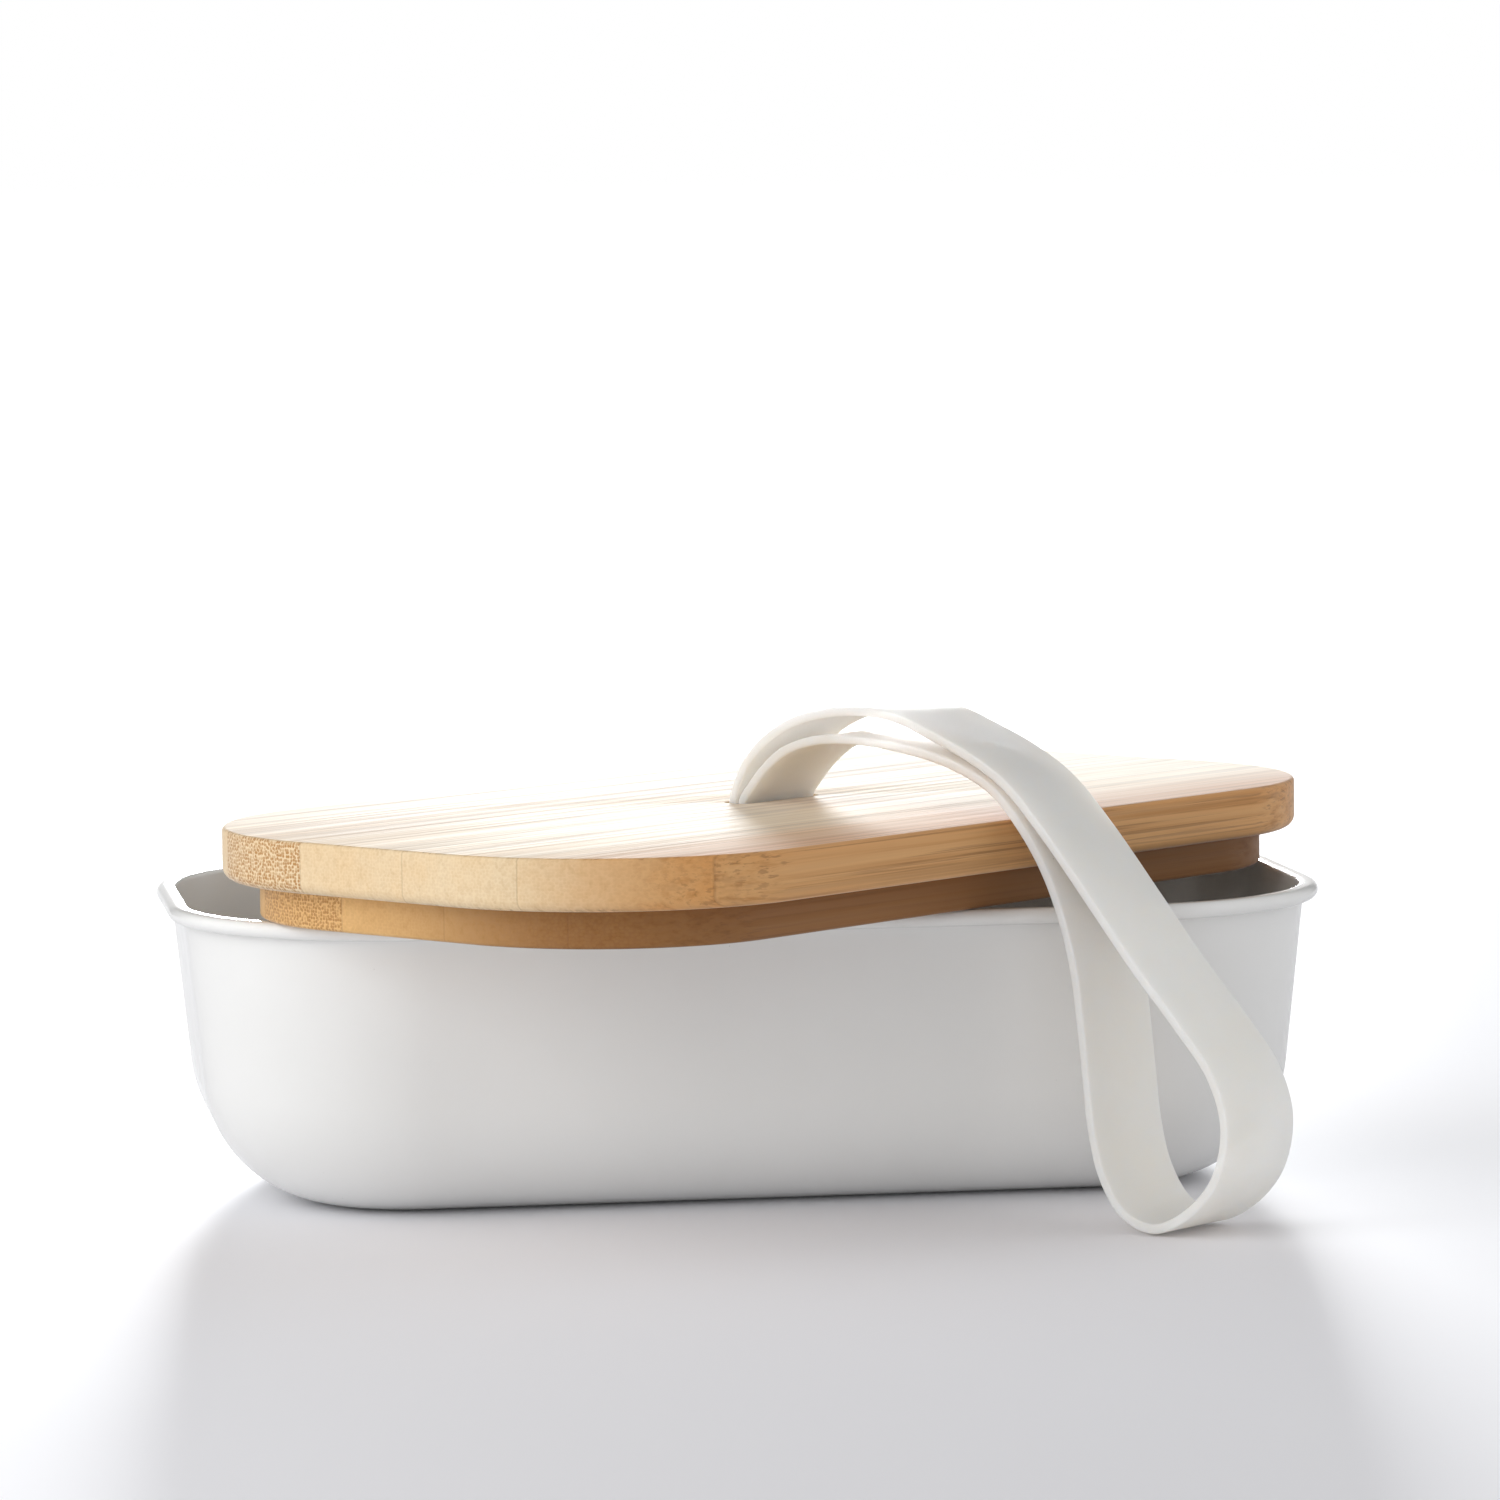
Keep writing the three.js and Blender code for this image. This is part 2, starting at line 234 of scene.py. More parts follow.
# ---- Material helpers ----
class Nodes:
    """A short way to build a material's nodes."""

    def __init__(self, name):
        self.material = bpy.data.materials.new(name)
        self.material.use_nodes = True
        self.tree = self.material.node_tree
        self.tree.nodes.clear()
        self.shader = self.add("ShaderNodeBsdfPrincipled")
        output = self.add("ShaderNodeOutputMaterial")
        self.link(self.shader.outputs[0], output.inputs["Surface"])
        self.coords = self.add("ShaderNodeTexCoord").outputs["Object"]

    def use_lid_frame(self):
        """Coordinates in the lid's own frame, with X along its grain."""
        mapping = self.add("ShaderNodeMapping", vector_type="TEXTURE")
        self.link(self.coords, mapping.inputs["Vector"])
        mapping.inputs["Location"].default_value = LID_CENTRE
        mapping.inputs["Rotation"].default_value = (0, 0, LID_ANGLE)
        self.coords = mapping.outputs[0]

    def add(self, kind, **settings):
        node = self.tree.nodes.new(kind)
        for key, value in settings.items():
            setattr(node, key, value)
        return node

    def link(self, source, target):
        self.tree.links.new(source, target)

    def put(self, value, target):
        """A link where value is a socket, or else the socket's own value."""
        if isinstance(value, bpy.types.NodeSocket):
            self.link(value, target)
        else:
            target.default_value = value

    def scaled(self, scale, source=None):
        node = self.add("ShaderNodeVectorMath", operation="MULTIPLY")
        self.link(source or self.coords, node.inputs[0])
        node.inputs[1].default_value = scale
        return node.outputs[0]

    def noise(self, vector, scale, detail, roughness=0.5):
        node = self.add("ShaderNodeTexNoise")
        self.link(vector, node.inputs["Vector"])
        node.inputs["Scale"].default_value = scale
        node.inputs["Detail"].default_value = detail
        node.inputs["Roughness"].default_value = roughness
        return node.outputs["Fac"]

    def grained(self, vector, stretch, *noise):
        """Noise that changes at its own rate along each axis."""
        return self.noise(self.scaled(stretch, vector), *noise)

    def specks(self, spacing, core, radius, clean, chance="X"):
        """Round specks, 1 inside core and fading out to radius. Chance leaves out the share clean of them."""
        node = self.add("ShaderNodeTexVoronoi")
        self.link(self.coords, node.inputs["Vector"])
        node.inputs["Scale"].default_value = 1 / spacing
        near = self.ramp(node.outputs["Distance"], core / spacing, radius / spacing, 1, 0)
        chosen = self.math("GREATER_THAN", self.axis(chance, node.outputs["Color"]), clean)
        return self.math("MULTIPLY", near, chosen)

    def rods(self, vector, scale, randomness):
        """Endless rods along X: how far the nearest is, in pitches, and a chance number of its own."""
        split = self.add("ShaderNodeSeparateXYZ")
        self.link(vector, split.inputs[0])
        flat = self.add("ShaderNodeCombineXYZ")
        self.link(split.outputs["Y"], flat.inputs[0])
        self.link(split.outputs["Z"], flat.inputs[1])
        node = self.add("ShaderNodeTexVoronoi", voronoi_dimensions="2D")
        self.link(flat.outputs[0], node.inputs["Vector"])
        node.inputs["Scale"].default_value = scale
        node.inputs["Randomness"].default_value = randomness
        return node.outputs["Distance"], self.axis("Y", node.outputs["Color"])

    def moved(self, vector, *amounts):
        offset = self.add("ShaderNodeCombineXYZ")
        for amount, socket in zip(amounts, offset.inputs):
            self.put(amount, socket)
        node = self.add("ShaderNodeVectorMath", operation="ADD")
        self.link(vector, node.inputs[0])
        self.link(offset.outputs[0], node.inputs[1])
        return node.outputs[0]

    def facing(self, direction):
        """How squarely the surface faces a direction of its object."""
        node = self.add("ShaderNodeVectorMath", operation="DOT_PRODUCT")
        self.link(self.add("ShaderNodeTexCoord").outputs["Normal"], node.inputs[0])
        node.inputs[1].default_value = direction
        return node.outputs["Value"]

    def white(self, source):
        node = self.add("ShaderNodeTexWhiteNoise", noise_dimensions="1D")
        self.link(source, node.inputs["W"])
        return node.outputs["Value"]

    def times(self, *values):
        """The product of sockets and numbers."""
        product = values[0]
        for value in values[1:]:
            product = self.math("MULTIPLY", product, value)
        return product

    def set(self, **values):
        """Plain values for the shader's sockets, with _ for a space in a socket's name."""
        for key, value in values.items():
            self.shader.inputs[key.replace("_", " ")].default_value = value

    def math(self, operation, a, b=0.0, clamp=False):
        node = self.add("ShaderNodeMath", operation=operation, use_clamp=clamp)
        self.put(a, node.inputs[0])
        self.put(b, node.inputs[1])
        return node.outputs[0]

    def ramp(self, source, low, high, to_low=0.0, to_high=1.0):
        """source mapped smoothly from low..high to to_low..to_high."""
        node = self.add("ShaderNodeMapRange", interpolation_type="SMOOTHSTEP")
        self.link(source, node.inputs["Value"])
        for key, value in (("From Min", low), ("From Max", high), ("To Min", to_low), ("To Max", to_high)):
            node.inputs[key].default_value = value
        return node.outputs[0]

    def mix(self, factor, a, b, blend="MIX"):
        node = self.add("ShaderNodeMix", data_type="RGBA", blend_type=blend)
        self.put(factor, node.inputs["Factor"])
        self.put(a, node.inputs[6])
        self.put(b, node.inputs[7])
        return node.outputs[2]

    def feed(self, colour=None, roughness=None, normal=None):
        """Textures into the shader."""
        for socket, name in ((colour, "Base Color"), (roughness, "Roughness"), (normal, "Normal")):
            if socket:
                self.link(socket, self.shader.inputs[name])

    def bump(self, height, strength, distance, normal=None):
        node = self.add("ShaderNodeBump")
        node.inputs["Strength"].default_value = strength
        node.inputs["Distance"].default_value = distance
        self.link(height, node.inputs["Height"])
        if normal:
            self.link(normal, node.inputs["Normal"])
        return node.outputs[0]

    def axis(self, name, source=None):
        node = self.add("ShaderNodeSeparateXYZ")
        self.link(source or self.coords, node.inputs[0])
        return node.outputs[name]


# ---- Materials. A noise is its cells per metre, octaves and how much the finer ones count. ----
# A ramp takes a value between its first two numbers to between its last two, or else to 0..1.
MIDDLE = (0.3, 0.7)                     # where most of a noise's values lie

ENAMEL_TONES = ((0.765, 0.765, 0.752, 1), (0.795, 0.795, 0.782, 1))
ENAMEL_CLOUDS = (18, 3)
ENAMEL_ROUGHNESS = (0.15, 0.22)
ENAMEL_WEAR = (60, 4)
ENAMEL_IOR = 1.52
ENAMEL_SPECK = (0.13, 0.12, 0.11, 1)
ENAMEL_SPECKS = [(9 * MM, 0.16 * MM, 0.80), (4 * MM, 0.07 * MM, 0.72)]   # spacing, radius, share left out
SPECK_CORE = 0.4                        # of a speck's radius
FINE_PEEL = ((420, 2), 0.06, 0.2 * MM)  # noise, strength, depth
BROAD_PEEL = ((70, 2), 0.10, 0.4 * MM)


def enamel():
    """Glossy white vitreous enamel: faint orange peel, cool milky unevenness and a few dark specks."""
    n = Nodes("enamel")
    base = n.mix(n.ramp(n.noise(n.coords, *ENAMEL_CLOUDS), *MIDDLE), *ENAMEL_TONES)
    for spacing, radius, clean in ENAMEL_SPECKS:
        base = n.mix(n.specks(spacing, SPECK_CORE * radius, radius, clean), base, ENAMEL_SPECK)
    normal = None
    for noise, strength, depth in (FINE_PEEL, BROAD_PEEL):
        normal = n.bump(n.noise(n.coords, *noise), strength, depth, normal)
    n.feed(base, n.ramp(n.noise(n.coords, *ENAMEL_WEAR), *MIDDLE, *ENAMEL_ROUGHNESS), normal)
    n.set(IOR=ENAMEL_IOR)
    return n.material


BAMBOO_PALE = (0.75, 0.625, 0.43, 1)
BAMBOO_HONEY = (0.76, 0.48, 0.20, 1)
BAMBOO_AMBER = (0.60, 0.34, 0.12, 1)
BAMBOO_FIBRE = (0.42, 0.235, 0.085, 1)
BAMBOO_ROD = (0.22, 0.09, 0.025, 1)
BAMBOO_ROD_END = (0.43, 0.21, 0.06, 1)
BAMBOO_RESIN = (0.15, 0.065, 0.02, 1)
BAMBOO_ROUGHNESS = (0.3, 0.8, 0.64, 0.86)
BAMBOO_SHEEN = (0.80, 0.91, 1.0, 1)
# Painted shade on the lid's front side and under the upper ply's overhang: where the painted shade is
# darkest, where it has faded out again, and its darkest tint.
UPPER_LOOK = {
    "shift": 0, "pale": BAMBOO_PALE, "deep": BAMBOO_HONEY, "fibre": 1.0,
    "front": (-53 * MM, -26 * MM, (0.84, 0.59, 0.365, 1)),
}
PLUG_LOOK = {
    "shift": PLUG_STRIP_SHIFT, "pale": BAMBOO_HONEY, "deep": BAMBOO_AMBER, "fibre": 1.4,
    "front": (-38 * MM, 18 * MM, (0.38, 0.275, 0.185, 1)),
}
STRIP_SEEDS = (31.5, 77.5)
STRIP_OFFSETS = (0.7, 0.4)              # how far apart the strips' patterns may lie along X and Z
END_GRAIN = (0.35, 0.75)                # ramp of how squarely a face looks along the fibres
BROAD = ((0.9, 26, 26), 4.0, 4, 0.6)    # stretch along X, Y and Z, then the noise
BROAD_RAMP = (0.30, 0.76, 0.0, 0.8)
FINE = ((2.2, 190, 190), 4.0, 3, 0.6)
FINE_RAMP = (0.45, 0.80, 0.0, 0.6)
GRAIN_ON_END = 0.35                     # strength of the lengthwise grain on end grain
STRIP_CHANGE = 0.3                      # how much the strips' colours differ
SKIN_DEPTH = 0.3                        # how much deeper the strip next to the culm's skin is
SKIN_EDGES = (0.49, 0.51, 1, 0)
BUNDLE_PITCH = 0.56 * MM
BUNDLE_WANDER = ((9, 3, 3), 1.0, 1)
BUNDLE_WANDER_RAMP = (0.2, 0.8, -0.8 * MM, 0.8 * MM)
BUNDLE_WANDER_Z = 0.7                   # of the wander across
BUNDLE_RANDOMNESS = 0.7
BUNDLE_CORE = (0.34, 0.56, 1, 0)        # ramp of the distance in pitches
BUNDLE_FAINT = 0.13                     # strength away from the culm's skin
BUNDLE_STRONG = 0.95
BUNDLE_CHANCE = (0.0, 0.7, 0.5, 1.0)
BUNDLE_ON_SIDE = 0.45
HAIRS = ((4, 520, 520), 3.2, 3, 0.6)
HAIRS_RAMP = (0.52, 0.62)
BANDS = ((1.8, 130, 130), 3.2, 3, 0.6)
BANDS_RAMP = (0.50, 0.68, 0.0, 0.8)
PATCHES = ((1.6, 24, 24), 4.0, 2)
PATCHES_RAMP = (0.42, 0.60, 0.35, 1.0)
STREAK_SIDE_TO_TOP = (0.3, 0.8, 0.42, 0.38)
STREAK_ON_END = 0.06
GLUE_LINE = (0.04 * MM, 0.18 * MM, 0.22, 0.0)
FINE_RISE = 0.5
BUNDLE_DENT = 0.6
STREAK_DENT = 0.8
BAMBOO_BUMP = (0.35, 0.12 * MM)         # strength, depth


def bamboo_ground(n, grain, fine, end, luck, pale, deep):
    """The ground colour: slow changes along the grain and quicker ones across it."""
    along = n.ramp(end, 0, 1, 1.0, GRAIN_ON_END)
    broad = n.ramp(n.grained(grain, *BROAD), *BROAD_RAMP)
    colour = n.mix(n.times(broad, along), pale, deep)
    colour = n.mix(n.times(luck, STRIP_CHANGE), colour, deep)
    return n.mix(n.times(n.ramp(fine, *FINE_RAMP), along), colour, BAMBOO_FIBRE)


def bamboo_bundles(n, grain, skin, end, fibre):
    """Vascular bundles: rods along X that wander a little, dark and close near the culm's skin."""
    sideways = n.ramp(n.grained(grain, *BUNDLE_WANDER), *BUNDLE_WANDER_RAMP)
    rods = n.moved(grain, 0.0, sideways, n.times(sideways, BUNDLE_WANDER_Z))
    distance, chance = n.rods(rods, 1 / BUNDLE_PITCH, BUNDLE_RANDOMNESS)
    strength = n.times(n.ramp(skin, 0, 1, BUNDLE_FAINT * fibre, BUNDLE_STRONG),
                       n.ramp(chance, *BUNDLE_CHANCE), n.ramp(end, 0, 1, BUNDLE_ON_SIDE, 1.0))
    return n.math("MULTIPLY", n.ramp(distance, *BUNDLE_CORE), strength, clamp=True)


def bamboo_streaks(n, grain, end, fibre):
    """Dark streaks of resin along the sides and top, in patches."""
    hairs = n.ramp(n.grained(grain, *HAIRS), *HAIRS_RAMP)
    bands = n.ramp(n.grained(grain, *BANDS), *BANDS_RAMP)
    patch = n.ramp(n.grained(grain, *PATCHES), *PATCHES_RAMP)
    streak = n.math("MULTIPLY", n.math("MAXIMUM", hairs, bands), n.times(patch, fibre), clamp=True)
    side = n.ramp(n.math("ABSOLUTE", n.facing((0, 0, 1))), *STREAK_SIDE_TO_TOP)
    return n.times(streak, side, n.ramp(end, 0, 1, 1.0, STREAK_ON_END))


def bamboo(name, shift, pale, deep, fibre, front):
    """Glued bamboo strips. The fibres run along X, so they show as dots on the ends and streaks elsewhere."""
    n = Nodes(name)
    n.use_lid_frame()
    place = n.math("DIVIDE", n.math("ADD", n.axis("Y"), -(STRIP_JOINT + shift)), STRIP_PITCH)
    strip = n.math("FLOOR", place)
    luck, other = (n.white(n.math("ADD", strip, seed)) for seed in STRIP_SEEDS)
    grain = n.moved(n.coords, n.times(luck, STRIP_OFFSETS[0]), 0.0, n.times(other, STRIP_OFFSETS[1]))
    end = n.ramp(n.math("ABSOLUTE", n.facing(LID_MATRIX.to_3x3() @ Vector((1, 0, 0)))), *END_GRAIN)
    fine = n.grained(grain, *FINE)
    colour = bamboo_ground(n, grain, fine, end, luck, pale, deep)

    # The strip behind the joint was cut nearest the culm's skin: honey coloured, with dark close bundles.
    skin = n.ramp(n.math("ABSOLUTE", n.math("SUBTRACT", place, 0.5)), *SKIN_EDGES)
    colour = n.mix(n.times(skin, n.ramp(end, 0, 1, SKIN_DEPTH, 0.0)), colour, deep)

    # Painted shade: the wood is darkened towards the lid's front side and, on the plug, under the upper ply's
    # overhang, standing in for the shade there.
    shade_full_y, shade_gone_y, shade_tint = front
    front_shade = n.ramp(n.axis("Y"), shade_full_y, shade_gone_y)
    colour = n.mix(front_shade, n.mix(1.0, colour, shade_tint, "MULTIPLY"), colour)

    rod = bamboo_bundles(n, grain, skin, end, fibre)
    colour = n.mix(rod, colour, n.mix(end, BAMBOO_ROD, BAMBOO_ROD_END))
    streak = bamboo_streaks(n, grain, end, fibre)
    colour = n.mix(streak, colour, BAMBOO_RESIN)
    within = n.math("FRACT", place)
    edge = n.times(n.math("MINIMUM", within, n.math("SUBTRACT", 1.0, within)), STRIP_PITCH)
    glue = n.ramp(edge, *GLUE_LINE)
    colour = n.mix(glue, colour, BAMBOO_RESIN)

    height = n.math("SUBTRACT", n.times(fine, FINE_RISE), n.times(rod, BUNDLE_DENT))
    height = n.math("SUBTRACT", height, n.times(n.math("MAXIMUM", glue, streak), STREAK_DENT))
    n.feed(colour, n.ramp(fine, *BAMBOO_ROUGHNESS), n.bump(height, *BAMBOO_BUMP))
    n.set(IOR=1.5, Sheen_Weight=0.32, Sheen_Roughness=0.35, Sheen_Tint=BAMBOO_SHEEN)
    return n.material


SILICONE_TONES = ((0.955, 0.895, 0.82, 1), (0.975, 0.925, 0.865, 1))
SILICONE_CLOUDS = (55, 3)
SILICONE_SPECK = (0.25, 0.22, 0.19, 1)
SILICONE_SPECKS = (5 * MM, 0.06 * MM, 0.15 * MM, 0.55, "Y")   # spacing, core, radius, share left out, chance
SILICONE_SPECK_STRENGTH = 0.6
SILICONE_SKIN = (900, 3)
SILICONE_BUMP = (0.12, 0.1 * MM)


def silicone():
    """Milky translucent silicone with a satin skin, moulded-in specks and a faintly uneven tone."""
    n = Nodes("silicone")
    base = n.mix(n.ramp(n.noise(n.coords, *SILICONE_CLOUDS), *MIDDLE), *SILICONE_TONES)
    base = n.mix(n.times(n.specks(*SILICONE_SPECKS), SILICONE_SPECK_STRENGTH), base, SILICONE_SPECK)
    n.feed(base, normal=n.bump(n.noise(n.coords, *SILICONE_SKIN), *SILICONE_BUMP))
    n.set(Roughness=0.42, IOR=1.41, Alpha=0.78)
    n.set(Subsurface_Weight=1.0, Subsurface_Radius=(1.0, 0.9, 0.8), Subsurface_Scale=5 * MM)
    return n.material


STEEL_TONES = ((0.52, 0.53, 0.55, 1), (0.68, 0.69, 0.70, 1))
STEEL_LINES = ((20, 900, 900), 3.0, 3)
STEEL_ROUGHNESS = (0.22, 0.38)
STEEL_BUMP = (0.15, 0.05 * MM)


def pin_steel():
    """Drawn stainless wire: fine lengthwise lines."""
    n = Nodes("pin_steel")
    n.use_lid_frame()
    lines = n.grained(n.coords, *STEEL_LINES)
    n.feed(n.mix(lines, *STEEL_TONES), n.ramp(lines, *MIDDLE, *STEEL_ROUGHNESS), n.bump(lines, *STEEL_BUMP))
    n.set(Metallic=1.0)
    return n.material


def dress(obj, material):
    obj.data.materials.clear()
    obj.data.materials.append(material)


# ---- The box: pressed sheet with a curled rim ----
def make_box():
    draft = math.degrees(WALL_DRAFT)
    rim_under = BOX_HEIGHT - RIM_HEIGHT
    fillet_top = BASE_FILLET * (1 - math.sin(WALL_DRAFT))
    fillet_inset = (RIM_OVERHANG + (rim_under - fillet_top) * math.tan(WALL_DRAFT)
                    + BASE_FILLET * math.cos(WALL_DRAFT))
    roll = RIM_HEIGHT / 2
    hollow = roll - SHEET
    roll_z = BOX_HEIGHT - roll
    inner_top = BOX_HEIGHT - RIM_INNER_ROUND
    inner_inset = (RIM_OVERHANG + SHEET / math.cos(WALL_DRAFT)
                   - (inner_top - rim_under) * math.tan(WALL_DRAFT))

    def wall(z, offset):
        return RIM_OVERHANG + offset + (rim_under - z) * math.tan(WALL_DRAFT), z

    rise = [fillet_top + (rim_under - fillet_top) * i / WALL_STEPS for i in range(1, WALL_STEPS + 1)]
    inner_offset = SHEET / math.cos(WALL_DRAFT)
    end_inset = RIM_OVERHANG - CURL_CREVICE
    profile = arc(fillet_inset, BASE_FILLET, BASE_FILLET, -90, -draft, FILLET_STEPS)
    profile += [wall(z, 0) for z in rise]
    profile += [(RIM_OVERHANG - CURL_TUCK, roll_z)]
    profile += arc(roll, roll_z, hollow, 90, -90, CURL_STEPS)
    profile += [(end_inset - CURL_BEVEL, roll_z - hollow), (end_inset, roll_z - hollow - CURL_BEVEL)]
    profile += [(end_inset, rim_under + CURL_BEVEL), (end_inset - CURL_BEVEL, rim_under)]
    profile += arc(roll, roll_z, roll, -90, 90, CURL_STEPS)
    profile += arc(inner_inset - RIM_INNER_ROUND, inner_top, RIM_INNER_ROUND, 90, 180, ROUND_STEPS)
    profile += [wall(z, inner_offset) for z in reversed(rise[:-1])]
    profile += arc(fillet_inset, BASE_FILLET, BASE_FILLET - SHEET, -draft, -90, FILLET_STEPS)
    box = loft("enamel_box", (BOX_LENGTH, BOX_WIDTH, BOX_CORNER), profile)
    smooth(box)
    dress(box, enamel())
    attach(box, "box")
    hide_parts("box_shell")


# ---- The lid: two plies of glued strips ----
def slot_centre():
    local = LID_MATRIX.inverted() @ SWING_POINT
    return Vector((0, local.y, 0))


def slot_cutter():
    profile = [(-SLOT_MOUTH, PLY_JOINT - CUT_PAST), (-SLOT_MOUTH, PLY_JOINT)]
    profile += [(0, PLY_JOINT + SLOT_MOUTH_DEPTH)]
    profile += arc(-SLOT_EDGE_ROUND, LID_THICKNESS - SLOT_EDGE_ROUND, SLOT_EDGE_ROUND, 180, 90, ROUND_STEPS)
    profile += [(-SLOT_EDGE_ROUND, LID_THICKNESS + CUT_PAST)]
    cutter = loft("slot_cutter", (SLOT_LENGTH, SLOT_WIDTH, SLOT_CORNER), profile, ROUND_STEPS)
    cutter.location = slot_centre()
    return cutter


def pocket_cutter():
    profile = [(-POCKET_EDGE, -2 * CUT_PAST), (-POCKET_EDGE, -SEAT)]
    profile += [(0, POCKET_EDGE - SEAT), (0, PLY_JOINT + CUT_PAST)]
    cutter = loft("pocket_cutter", (POCKET_LENGTH, POCKET_WIDTH, POCKET_CORNER), profile, ROUND_STEPS)
    cutter.location = slot_centre()
    return cutter


def make_ply(name, profile, cutter, material, nodes):
    ply = loft(name, (LID_LENGTH, LID_WIDTH, LID_CORNER), profile)
    cut(ply, cutter)
    ply.data.transform(LID_MATRIX)
    smooth(ply)
    dress(ply, material)
    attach(ply, "lid")
    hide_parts(*nodes)


def make_upper_ply():
    under = UPPER_LOWER_ROUND
    profile = arc(under, PLY_JOINT + under, under, -90, 0, 2 * ROUND_STEPS)
    profile += arc(UPPER_TOP_ROUND, LID_THICKNESS - UPPER_TOP_ROUND, UPPER_TOP_ROUND, 0, 90, ROUND_STEPS)
    make_ply("lid_upper_ply", profile, slot_cutter(), bamboo("bamboo_upper", **UPPER_LOOK), UPPER_NODES)


def make_lower_ply():
    profile = arc(PLUG_INSET + PLUG_ROUND, PLUG_ROUND - SEAT, PLUG_ROUND, -90, 0, ROUND_STEPS)
    profile += [(PLUG_INSET, PLY_JOINT + GLUE_OVERLAP)]
    make_ply("lid_lower_ply", profile, pocket_cutter(), bamboo("bamboo_lower", **PLUG_LOOK), PLUG_NODES)


# ---- The pin ----
def make_pin():
    span = PIN_HIGH - PIN_LOW
    length = (span.x * math.cos(LID_ANGLE) + span.y * math.sin(LID_ANGLE)
              - 2 * PIN_RADIUS * math.sin(2 * LID_ANGLE))
    stations = [(-length / 2, PIN_RADIUS - PIN_CHAMFER), (-length / 2 + PIN_CHAMFER, PIN_RADIUS),
                (length / 2 - PIN_CHAMFER, PIN_RADIUS), (length / 2, PIN_RADIUS - PIN_CHAMFER)]
    turns = [2 * math.pi * i / PIN_SIDES for i in range(PIN_SIDES)]
    bm = bmesh.new()
    rings = []
    for x, radius in stations:
        rings.append([bm.verts.new((x, radius * math.cos(t), radius * math.sin(t))) for t in turns])
    pin = capped("retaining_pin", bm, rings)
    pin.data.transform(Matrix.Translation((PIN_LOW + PIN_HIGH) / 2) @ Matrix.Rotation(LID_ANGLE, 4, "Z"))
    smooth(pin)
    dress(pin, pin_steel())
    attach(pin, "lid")
    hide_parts("strap_pin")


# ---- The strap ----
def strap_route():
    """The closed middle line, in (distance to the front, height above the floor), metres."""
    centre = -slot_centre().y
    pin_z = (PIN_LOW.z + PIN_HIGH.z) / 2
    bend = PIN_RADIUS + PIN_CLEARANCE + STRAP_THICKNESS / 2
    degrees = range(-PIN_WRAP, -180 - PIN_WRAP - 1, -PIN_WRAP_STEP)
    around = [(centre + bend * math.cos(a), pin_z + bend * math.sin(a)) for a in map(math.radians, degrees)]
    heights = [pin_z + LAYERS_MEET] + [SWING_POINT.z - below for below in ROOT_STRAIGHT]
    left = [(centre - LAYER_OFFSET, z) for z in heights]
    right = [(centre + LAYER_OFFSET, z) for _, z in reversed(left)]
    over = [(front * MM, z * MM) for front, z in STRAP_OVER]
    under = [(front * MM, z * MM) for front, z in STRAP_UNDER]
    return [Vector(p) for p in left + over + under + right + around]


def catmull_rom(points, steps):
    """A closed centripetal Catmull-Rom curve through the points."""
    count = len(points)
    result = []
    for i in range(count):
        p = [points[(i + k) % count] for k in (-1, 0, 1, 2)]
        t = [0.0]
        for a, b in zip(p, p[1:]):
            t.append(t[-1] + math.sqrt((b - a).length))
        for step in range(steps):
            u = t[1] + (t[2] - t[1]) * step / steps
            first = [p[k].lerp(p[k + 1], (u - t[k]) / (t[k + 1] - t[k])) for k in range(3)]
            second = [first[k].lerp(first[k + 1], (u - t[k]) / (t[k + 2] - t[k])) for k in range(2)]
            result.append(second[0].lerp(second[1], (u - t[1]) / (t[2] - t[1])))
    return result


def strap_section():
    """The band's rounded section, as (across, outwards) pairs."""
    return outline(STRAP_WIDTH, STRAP_THICKNESS, STRAP_EDGE_ROUND, 0, SECTION_STEPS)


def make_strap():
    middle = catmull_rom(strap_route(), STRAP_STEPS)
    section = strap_section()
    bm = bmesh.new()
    rings = []
    count = len(middle)
    for i, point in enumerate(middle):
        along = (middle[(i + 1) % count] - middle[i - 1]).normalized()
        out = Vector((-along.y, along.x))
        ring = []
        for across, rise in section:
            place = point + out * rise
            ring.append(bm.verts.new((across, -place.x, place.y - LID_CENTRE.z)))
        rings.append(ring)
    for i in range(count):
        bridge(bm, rings[i], rings[(i + 1) % count])
    strap = make_object("silicone_strap", bm)
    strap.data.transform(LID_MATRIX)
    smooth(strap)
    dress(strap, silicone())
    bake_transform(strap)
    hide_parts("strap_loop", "strap_anchor")


# ---- Stage ----
FLOOR_HALF = 3.0
FLOOR_BACK = 1.4
FLOOR_TONES = ((0.865, 0.865, 0.895, 1), (0.885, 0.885, 0.915, 1))
FLOOR_CLOUDS = (9, 3)
FLOOR_ROUGHNESS = 0.6
DOME = 0.10                           # the surroundings' even part
LOBES = [                             # towards, where a lobe starts and is full as a cosine, how much it adds
    ((-1.0, 0.0, 0.27), 0.45, 0.98, 1.15),
    ((-0.7, -0.7, 0.27), 0.45, 0.98, 0.50),
    ((0.7, -0.7, 0.27), 0.45, 0.98, 0.10),
    ((1.0, 0.0, 0.27), 0.45, 0.98, 1.04),
    ((-0.64, 0.0, 0.77), 0.45, 0.98, 0.36),
    ((0.15, 1.0, -0.05), 0.94, 0.975, 0.90),
    ((0.0, 0.0, -1.0), 0.0, 0.03, 0.55),
]
LIGHTS = [                            # name, place, aim, size, watts, colour, whether reflections show it
    ("back_window", (0.40, 2.97, 0.52), (0, 0, 0.05), (0.60, 0.40), 61, (0.96, 0.98, 1.0), True),
    ("left_softbox", (-0.36, -0.30, 0.20), (-0.06, 0, 0.04), (0.24, 0.24), 0.34, (1, 1, 1), False),
    ("front_fill", (-0.1, -1.5, 0.05), (0, 0, 0.01), (1.2, 0.08), 2.2, (1, 1, 1), False),
]


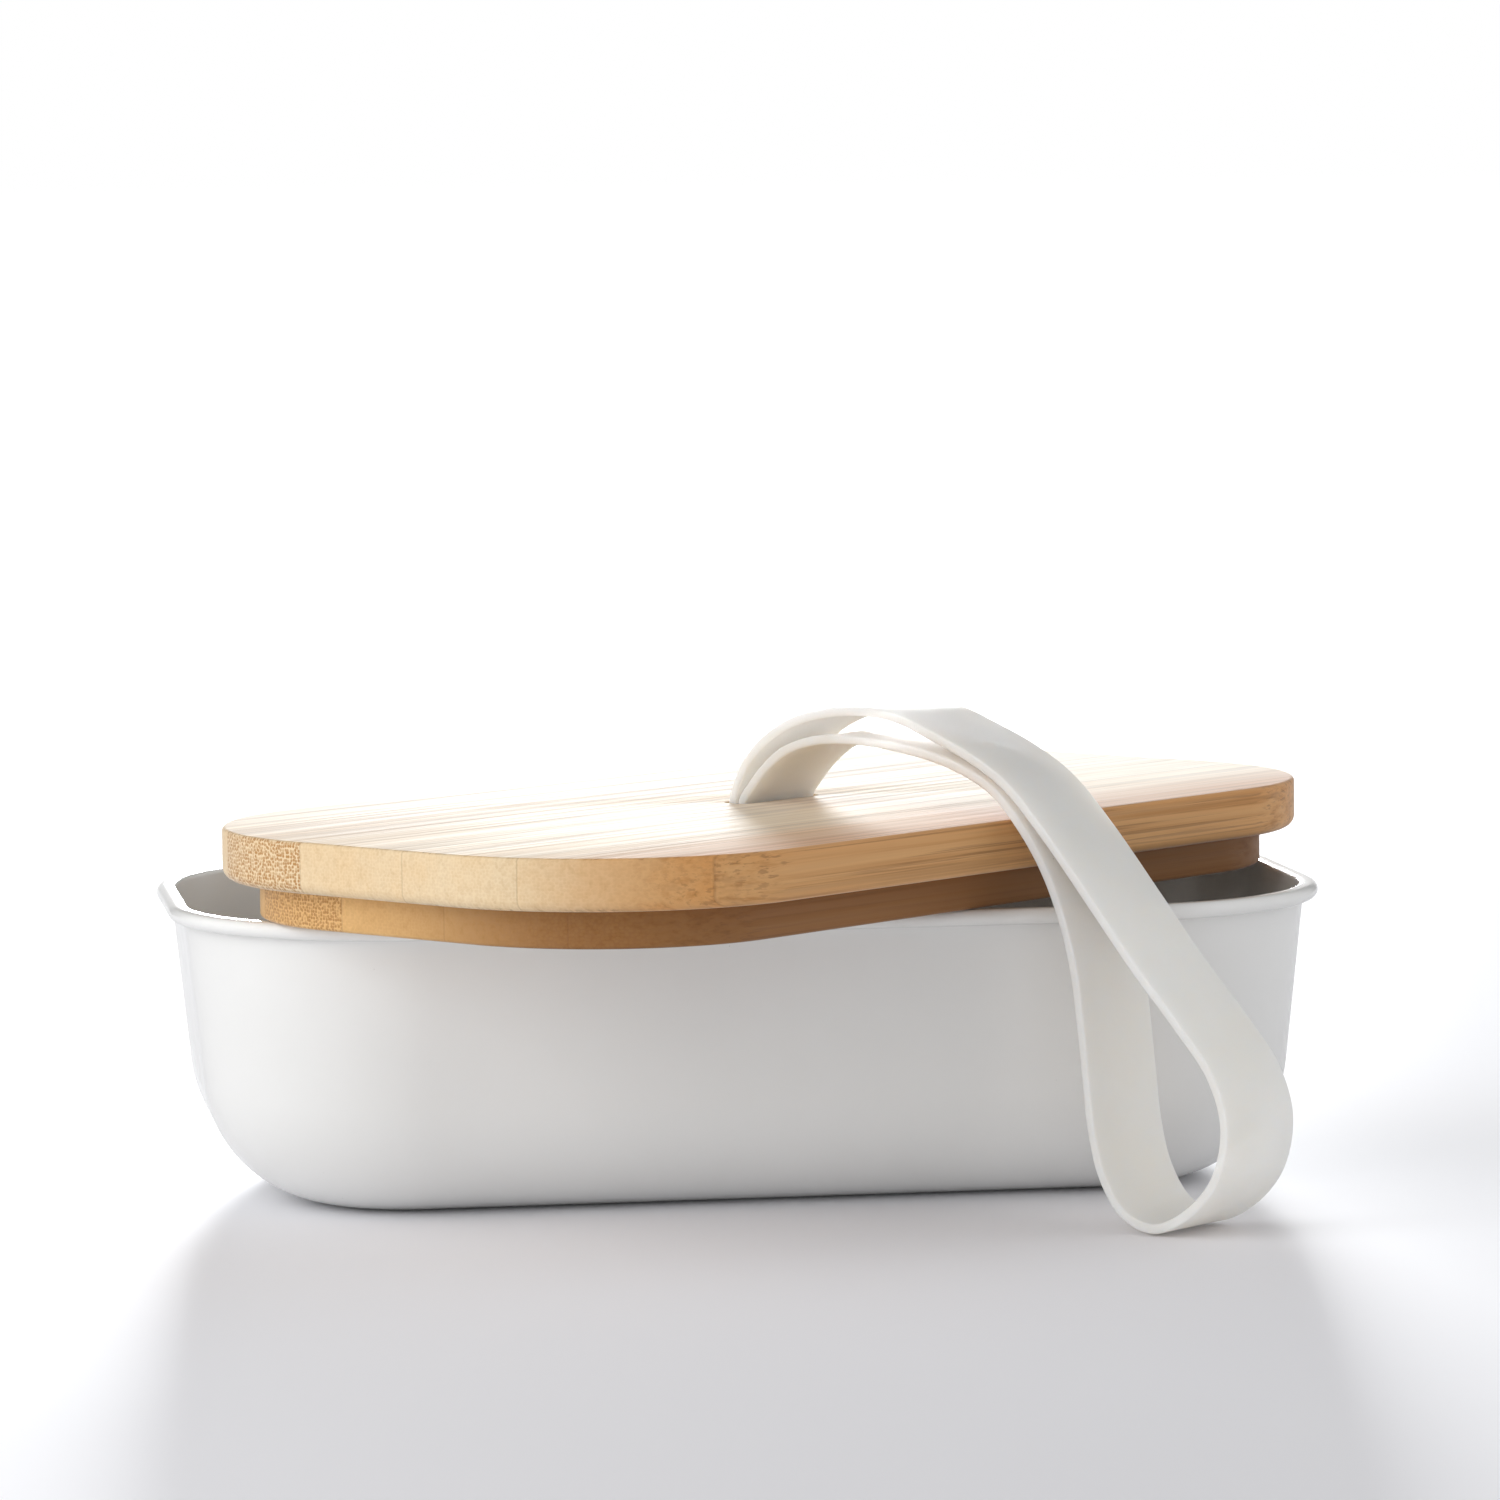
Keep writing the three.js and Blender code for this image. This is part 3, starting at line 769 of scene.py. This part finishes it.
def make_floor():
    bm = bmesh.new()
    corners = [(-FLOOR_HALF, -FLOOR_HALF), (FLOOR_HALF, -FLOOR_HALF)]
    corners += [(FLOOR_HALF, FLOOR_BACK), (-FLOOR_HALF, FLOOR_BACK)]
    bm.faces.new([bm.verts.new((x, y, 0)) for x, y in corners])
    floor = make_object("studio_floor", bm)
    n = Nodes("floor_paper")
    n.feed(n.mix(n.noise(n.coords, *FLOOR_CLOUDS), *FLOOR_TONES))
    n.set(Roughness=FLOOR_ROUGHNESS)
    floor.data.materials.append(n.material)


def area_light(name, place, aim, size, power, colour, glossy):
    data = bpy.data.lights.new(name, "AREA")
    data.shape = "RECTANGLE"
    data.size, data.size_y = size
    data.energy = power
    data.color = colour
    light = bpy.data.objects.new(name, data)
    light.location = place
    light.rotation_mode = "QUATERNION"
    light.rotation_quaternion = (Vector(aim) - Vector(place)).to_track_quat("-Z", "Y")
    light.visible_camera = False
    light.visible_glossy = glossy
    bpy.context.scene.collection.objects.link(light)


def make_world():
    """White surroundings: an even dome with brighter lobes, each towards its own direction."""
    world = bpy.data.worlds.new("studio_world")
    world.use_nodes = True
    tree = world.node_tree
    direction = tree.nodes.new("ShaderNodeTexCoord").outputs["Generated"]

    def lobe(towards, start, full, level):
        dot = tree.nodes.new("ShaderNodeVectorMath")
        dot.operation = "DOT_PRODUCT"
        tree.links.new(direction, dot.inputs[0])
        dot.inputs[1].default_value = Vector(towards).normalized()
        node = tree.nodes.new("ShaderNodeMapRange")
        node.interpolation_type = "SMOOTHSTEP"
        tree.links.new(dot.outputs["Value"], node.inputs["Value"])
        for key, value in (("From Min", start), ("From Max", full), ("To Min", 0), ("To Max", level)):
            node.inputs[key].default_value = value
        return node.outputs[0]

    total = tree.nodes.new("ShaderNodeValue").outputs[0]
    total.default_value = DOME
    for towards, start, full, level in LOBES:
        add = tree.nodes.new("ShaderNodeMath")
        add.operation = "ADD"
        tree.links.new(total, add.inputs[0])
        tree.links.new(lobe(towards, start, full, level), add.inputs[1])
        total = add.outputs[0]
    background = tree.nodes["Background"]
    background.inputs["Color"].default_value = (1, 1, 1, 1)
    tree.links.new(total, background.inputs["Strength"])
    bpy.context.scene.world = world


def make_lights():
    make_world()
    for light in LIGHTS:
        area_light(*light)


# ---- Camera ----
CAMERA_AZIMUTH = math.radians(-8.65)
CAMERA_ELEVATION = math.radians(5.02)
CAMERA_ROLL = math.radians(0.57)     # clockwise
CAMERA_DISTANCE = 1.1423
CAMERA_TARGET = Vector((0.0031, 0, 0.07445))
CAMERA_LENS = 156.6
CAMERA_CLIP = (0.05, 50)
SENSOR_WIDTH = 36


def make_camera():
    back = Vector((math.sin(CAMERA_AZIMUTH) * math.cos(CAMERA_ELEVATION),
                   -math.cos(CAMERA_AZIMUTH) * math.cos(CAMERA_ELEVATION), math.sin(CAMERA_ELEVATION)))
    data = bpy.data.cameras.new("camera")
    data.lens = CAMERA_LENS
    data.sensor_width = SENSOR_WIDTH
    data.clip_start, data.clip_end = CAMERA_CLIP
    camera = bpy.data.objects.new("camera", data)
    camera.rotation_mode = "QUATERNION"
    camera.location = CAMERA_TARGET + back * CAMERA_DISTANCE
    camera.rotation_quaternion = (Matrix.Rotation(CAMERA_ROLL, 3, -back)
                                  @ (-back).to_track_quat("-Z", "Y").to_matrix()).to_quaternion()
    bpy.context.scene.collection.objects.link(camera)
    bpy.context.scene.camera = camera


make_camera()
make_box()
make_upper_ply()
make_lower_ply()
make_pin()
make_strap()
make_floor()
make_lights()
bpy.context.scene.view_settings.view_transform = "Standard"
